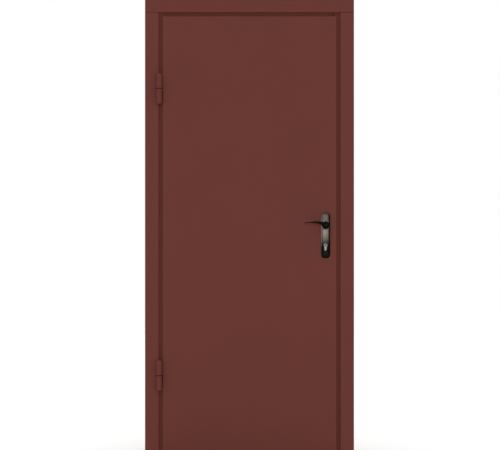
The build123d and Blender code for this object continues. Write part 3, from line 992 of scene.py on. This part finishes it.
class DOOR_OT_lock(bpy.types.Operator):
    """Lock cylinder with its key plugs, faceplate, latch and bolts, all with broken edges"""

    bl_idname = "door.lock"
    bl_label = "Lock"

    def execute(self, context):
        finish = context.scene.door_finish
        fittings = context.scene.door_fittings
        nickel = kept_material(satin_nickel, finish)
        dulled = kept_material(worn_nickel, finish)
        zinc = kept_material(plated_zinc, finish)
        link_piece("cylinder", cylinder_mesh(fittings), nickel, "leaf", ["lock_cylinder"])
        for side, outward in SIDES:
            node = f"{side}_key_plug"
            link_piece(f"{side}_plug", plug_mesh(node, outward, fittings), dulled, "leaf", [node])
        for node, name in (("latch_bolt", "latch"), ("dead_bolts", "bolts")):
            link_piece(name, broken_edges(node, fittings.edge_break), nickel, "leaf", [node])
        sinks = countersinks(faceplate_screws(fittings), Vector((1, 0, 0)), fittings)
        plate = smooth_by_angle(carved(broken_edges("lock_faceplate", fittings.edge_break), sinks), 35)
        link_piece("faceplate", plate, zinc, "leaf", ["lock_faceplate"])
        dress(["lock_case"], zinc)
        return {"FINISHED"}


def cylinder_section(inset, fittings, steps):
    """The lock cylinder's keyhole outline about its key plugs' axis, drawn in by an inset."""
    low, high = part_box("lock_cylinder")
    tail = fittings.cylinder_tail / 2
    drop = middle("outer_key_plug").z - low.z - tail
    return keyhole_outline((high.x - low.x) / 2 - inset, tail - inset, drop, steps)


def cylinder_mesh(fittings):
    """The keyhole-section bar with chamfered ends and a bore for the plug in each."""
    low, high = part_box("lock_cylinder")
    plug_low, plug_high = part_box("outer_key_plug")
    axis = middle("outer_key_plug")
    chamfer = fittings.edge_break
    rings = []
    for y, inset in ((low.y, chamfer), (low.y + chamfer, 0), (high.y - chamfer, 0), (high.y, chamfer)):
        outline = cylinder_section(inset, fittings, 28)
        rings.append([Vector((axis.x, y, axis.z)) + point for point in outline])
    bore = (plug_high.x - plug_low.x) / 2
    depth = plug_high.y - plug_low.y
    profile = ((bore + chamfer, -chamfer), (bore + chamfer, 0), (bore, chamfer), (bore, depth))
    bores = [
        lathe(profile, 56, Vector((axis.x, end_y, axis.z)), Vector((0, inward, 0)))
        for end_y, inward in ((low.y, 1), (high.y, -1))
    ]
    return smooth_by_angle(carved(loft_rings(rings), bores), 32)


def plug_mesh(node, outward, fittings):
    """A round key plug with a chamfered face and a stepped keyway."""
    low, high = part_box(node)
    axis = middle(node)
    clearance = 0.05 * MM
    radius = (high.x - low.x) / 2 - clearance
    depth = high.y - low.y
    keyway_depth = 0.75 * depth
    chamfer = fittings.edge_break
    face = Vector((axis.x, low.y if outward < 0 else high.y, axis.z))
    inward = Vector((0, -outward, 0))
    plug = lathe(((radius - chamfer, 0), (radius, chamfer), (radius, depth)), 56, face, inward)
    width, height = fittings.keyway_width, fittings.keyway_height
    ward = 0.45 * width
    outline = [
        Vector((x, 0, z)) for x, z in (
            (-width / 2, -height / 2), (width / 2 - ward, -height / 2), (width / 2 - ward, -height / 8),
            (width / 2, 0), (width / 2, height / 2), (-width / 2 + ward, height / 2),
            (-width / 2 + ward, height / 6), (-width / 2, 0),
        )
    ]
    ends = (-1 * MM, keyway_depth)
    keyway = loft_rings([[face + inward * reach + point for point in outline] for reach in ends])
    return smooth_by_angle(carved(plug, [keyway]), 32)


class DOOR_OT_screws(bpy.types.Operator):
    """Cross-recess screws in inner backplate and faceplate, and grub screws under the levers' necks"""

    bl_idname = "door.screws"
    bl_label = "Screws"

    def execute(self, context):
        finish = context.scene.door_finish
        fittings = context.scene.door_fittings
        head = bpy.data.objects.new("screw_head", screw_head(fittings))
        grub = bpy.data.objects.new("grub_head", grub_head(fittings))
        tree = screw_tree()
        quarter = math.pi / 2
        sink = fittings.screw_sink
        plate_points = [point - Vector((0, sink, 0)) for point in backplate_screws(fittings)]
        face_points = [point - Vector((sink, 0, 0)) for point in faceplate_screws(fittings)]
        spindle = middle("lever_spindle")
        outer_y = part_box("outer_lever")[1].y - fittings.grub_reach
        inner_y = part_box("inner_lever")[0].y + fittings.grub_reach
        grub_points = [(spindle.x, y, spindle.z - fittings.lever_neck) for y in (outer_y, inner_y)]
        black, zinc = kept_material(black_nickel, finish), kept_material(plated_zinc, finish)
        for name, points, part, facing, body, material, slot in (
            ("plate_screws", plate_points, head, (-quarter, 0, 0), "leaf", black, "black_nickel"),
            ("faceplate_screws", face_points, head, (0, quarter, 0), "leaf", zinc, "zinc_steel"),
            ("grub_screws", grub_points, grub, (2 * quarter, 0, 0), "lever_set", zinc, "zinc_steel"),
        ):
            mesh = grown_mesh(points, [], tree, Head=part, Facing=facing, Seed=7, Material=material)
            link_piece(name, smooth_by_angle(mesh, 30), material, body)
        bpy.data.objects.remove(head)
        bpy.data.objects.remove(grub)
        return {"FINISHED"}


class DOOR_OT_stage(bpy.types.Operator):
    """Pale floor, soft studio light and the camera straight in front of the door"""

    bl_idname = "door.stage"
    bl_label = "Stage"

    def execute(self, context):
        scene = context.scene
        stage = scene.door_stage
        add_floor(stage)
        add_studio_light(scene, stage)
        add_camera(scene, stage)
        scene.view_settings.view_transform = "Standard"
        return {"FINISHED"}


def add_floor(stage):
    """A wide flat floor at the foot of the door."""
    shape = bmesh.new()
    bmesh.ops.create_grid(shape, x_segments=8, y_segments=8, size=stage.floor_reach)
    mesh = plain_mesh("floor", shape)
    mesh.materials.append(kept_material(studio_floor, stage))
    placed("floor", mesh)


def add_studio_light(scene, stage):
    """A white room: soft light in front, a little above the camera, dim sides, and plain white to the eye."""
    world = bpy.data.worlds.new("studio")
    world.use_nodes = True
    scene.world = world
    background = world.node_tree.nodes["Background"]
    add = partial(add_node, world.node_tree)
    heading = add("ShaderNodeTexCoord").outputs["Generated"]
    facing = add("ShaderNodeVectorMath", {0: heading, 1: LIGHT_HEADING}, operation="DOT_PRODUCT")
    split = add("ShaderNodeSeparateXYZ", {"Vector": heading})
    sides = add(
        "ShaderNodeMapRange",
        {
            "Value": split.outputs["X"], "From Min": -1.0, "From Max": 1.0,
            "To Min": stage.left_light, "To Max": stage.right_light,
        },
    )
    front = add("ShaderNodeMath", {0: facing, 1: 0.0}, operation="MAXIMUM")
    lobe = add("ShaderNodeMath", {0: front, 1: stage.front_focus}, operation="POWER")
    level = add("ShaderNodeMath", {0: lobe, 1: stage.front_light, 2: sides}, operation="MULTIPLY_ADD")
    for reading, end, gain in ((facing, -1.0, stage.back_light), (split.outputs["Z"], 1.0, stage.top_light)):
        extra = add(
            "ShaderNodeMapRange",
            {"Value": reading, "From Min": 0.0, "From Max": end, "To Min": 0.0, "To Max": gain},
        )
        level = add("ShaderNodeMath", {0: level, 1: extra}, operation="ADD")
    to_camera = add("ShaderNodeLightPath").outputs["Is Camera Ray"]
    seen = add("ShaderNodeMix", {0: to_camera, 2: level, 3: 1.0}, data_type="FLOAT")
    fill_inputs(background, {"Strength": seen, "Color": (1, 1, 1, 1)})


def add_camera(scene, stage):
    """A long lens straight in front of the door, so that it shows almost without perspective."""
    data = bpy.data.cameras.new("front_camera")
    data.lens = stage.lens
    data.sensor_width = SENSOR_WIDTH
    camera = placed("front_camera", data)
    face_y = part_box("leaf_front_skin")[0].y
    distance = stage.picture_width * data.lens / data.sensor_width
    camera.location = (stage.aim_right, face_y - distance, stage.aim_height)
    camera.rotation_euler = (math.pi / 2, 0, 0)
    data.clip_end = 4 * distance
    scene.camera = camera


class DOOR_PT_sidebar(bpy.types.Panel):
    """Steps and settings of the door, in order"""

    bl_idname = "DOOR_PT_sidebar"
    bl_label = "Entrance Door"
    bl_space_type = "VIEW_3D"
    bl_region_type = "UI"
    bl_category = "Door"

    def draw(self, context):
        for group_name in GROUPS:
            group = getattr(context.scene, group_name)
            column = self.layout.column(align=True)
            for name in group.bl_rna.properties.keys():
                if name not in ("rna_type", "name"):
                    column.prop(group, name)
        for step in STEPS:
            self.layout.operator(step.bl_idname)


STEPS = (
    DOOR_OT_coat, DOOR_OT_seals, DOOR_OT_backplates, DOOR_OT_levers, DOOR_OT_lock, DOOR_OT_screws,
    DOOR_OT_stage,
)
GROUPS = {"door_finish": DoorFinish, "door_fittings": DoorFittings, "door_stage": DoorStage}
CLASSES = (*GROUPS.values(), *STEPS, DOOR_PT_sidebar)


def register():
    """Register the classes and hang their settings on the scene."""
    for item in CLASSES:
        bpy.utils.register_class(item)
    for name, group in GROUPS.items():
        setattr(bpy.types.Scene, name, bpy.props.PointerProperty(type=group))


def unregister():
    """Take the settings and classes away again."""
    for name in GROUPS:
        delattr(bpy.types.Scene, name)
    for item in reversed(CLASSES):
        bpy.utils.unregister_class(item)


def main():
    """Dress the door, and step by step."""
    register()
    bpy.ops.door.coat()
    bpy.ops.door.seals()
    bpy.ops.door.backplates()
    bpy.ops.door.levers()
    bpy.ops.door.lock()
    bpy.ops.door.screws()
    bpy.ops.door.stage()


if __name__ == "__main__":
    main()
